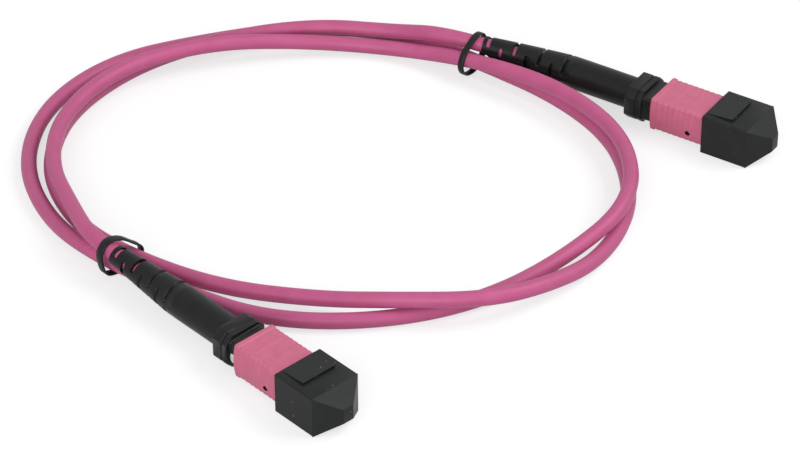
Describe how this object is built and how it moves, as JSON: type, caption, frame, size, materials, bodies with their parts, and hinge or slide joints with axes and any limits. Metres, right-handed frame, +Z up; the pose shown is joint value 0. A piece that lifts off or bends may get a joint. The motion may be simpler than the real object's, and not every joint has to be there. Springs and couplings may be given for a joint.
{
  "type": "mpo fibre connector",
  "caption": "Short fibre patch cord coiled flat, with a capped multi-fibre push-on connector, sliding sleeve and slotted bend-relief boot at each end.",
  "frame": {"origin": "on the floor under the middle of the near connector's dust cap", "axes": "+X along the near connector's axis towards its mating side, +Z up"},
  "size_m": [0.1539, 0.1635, 0.0116],
  "materials": {
    "cap_plastic": "moulded, finely grained",
    "sleeve_plastic": "satin moulded",
    "housing_plastic": "satin moulded",
    "ferrule_resin": "glass-filled resin, polished front",
    "keeper_steel": "stamped",
    "spring_steel": "drawn wire",
    "soft_rubber": "matt",
    "ribbon_coating": "coated glass fibre",
    "crimp_brass": "crimped",
    "boot_rubber": "satin moulded",
    "jacket": "semi-gloss extruded",
    "tie_rubber": "matt"
  },
  "bodies": {
    "cord": {"cable": "jacket", "tie_a": "tie_rubber", "tie_b": "tie_rubber", "inner_housing_a": "housing_plastic", "coupling_spring_left_a": "spring_steel", "coupling_spring_right_a": "spring_steel", "ferrule_spring_a": "spring_steel", "rear_body_a": "housing_plastic", "crimp_ring_a": "crimp_brass", "boot_a": "boot_rubber", "inner_housing_b": "housing_plastic", "coupling_spring_left_b": "spring_steel", "coupling_spring_right_b": "spring_steel", "ferrule_spring_b": "spring_steel", "rear_body_b": "housing_plastic", "crimp_ring_b": "crimp_brass", "boot_b": "boot_rubber"},
    "cap_a": {"dust_cap_a": "cap_plastic"},
    "sleeve_a": {"coupling_sleeve_a": "sleeve_plastic"},
    "ferrule_unit_a": {"ferrule_a": "ferrule_resin", "pin_keeper_a": "keeper_steel", "ferrule_boot_a": "soft_rubber", "fibre_ribbon_a": "ribbon_coating"},
    "cap_b": {"dust_cap_b": "cap_plastic"},
    "sleeve_b": {"coupling_sleeve_b": "sleeve_plastic"},
    "ferrule_unit_b": {"ferrule_b": "ferrule_resin", "pin_keeper_b": "keeper_steel", "ferrule_boot_b": "soft_rubber", "fibre_ribbon_b": "ribbon_coating"}
  },
  "joints": [
    {"name": "cap_a_pull", "type": "slide", "parent": "cord", "child": "cap_a", "axis": [1, 0, 0], "range_m": [0, 0.025]},
    {"name": "sleeve_a_slide", "type": "slide", "parent": "cord", "child": "sleeve_a", "axis": [-1, 0, 0], "range_m": [0, 0.002], "stiffness_N_per_m": 900, "deforming": ["coupling_spring_left_a", "coupling_spring_right_a"]},
    {"name": "ferrule_a_float", "type": "slide", "parent": "cord", "child": "ferrule_unit_a", "axis": [-1, 0, 0], "range_m": [0, 0.0008], "stiffness_N_per_m": 3000, "deforming": ["ferrule_spring_a"]},
    {"name": "cap_b_pull", "type": "slide", "parent": "cord", "child": "cap_b", "axis": [0.9706, 0.2407, 0], "range_m": [0, 0.025]},
    {"name": "sleeve_b_slide", "type": "slide", "parent": "cord", "child": "sleeve_b", "axis": [-0.9706, -0.2407, 0], "range_m": [0, 0.002], "stiffness_N_per_m": 900, "deforming": ["coupling_spring_left_b", "coupling_spring_right_b"]},
    {"name": "ferrule_b_float", "type": "slide", "parent": "cord", "child": "ferrule_unit_b", "axis": [-0.9706, -0.2407, 0], "range_m": [0, 0.0008], "stiffness_N_per_m": 3000, "deforming": ["ferrule_spring_b"]}
  ]
}
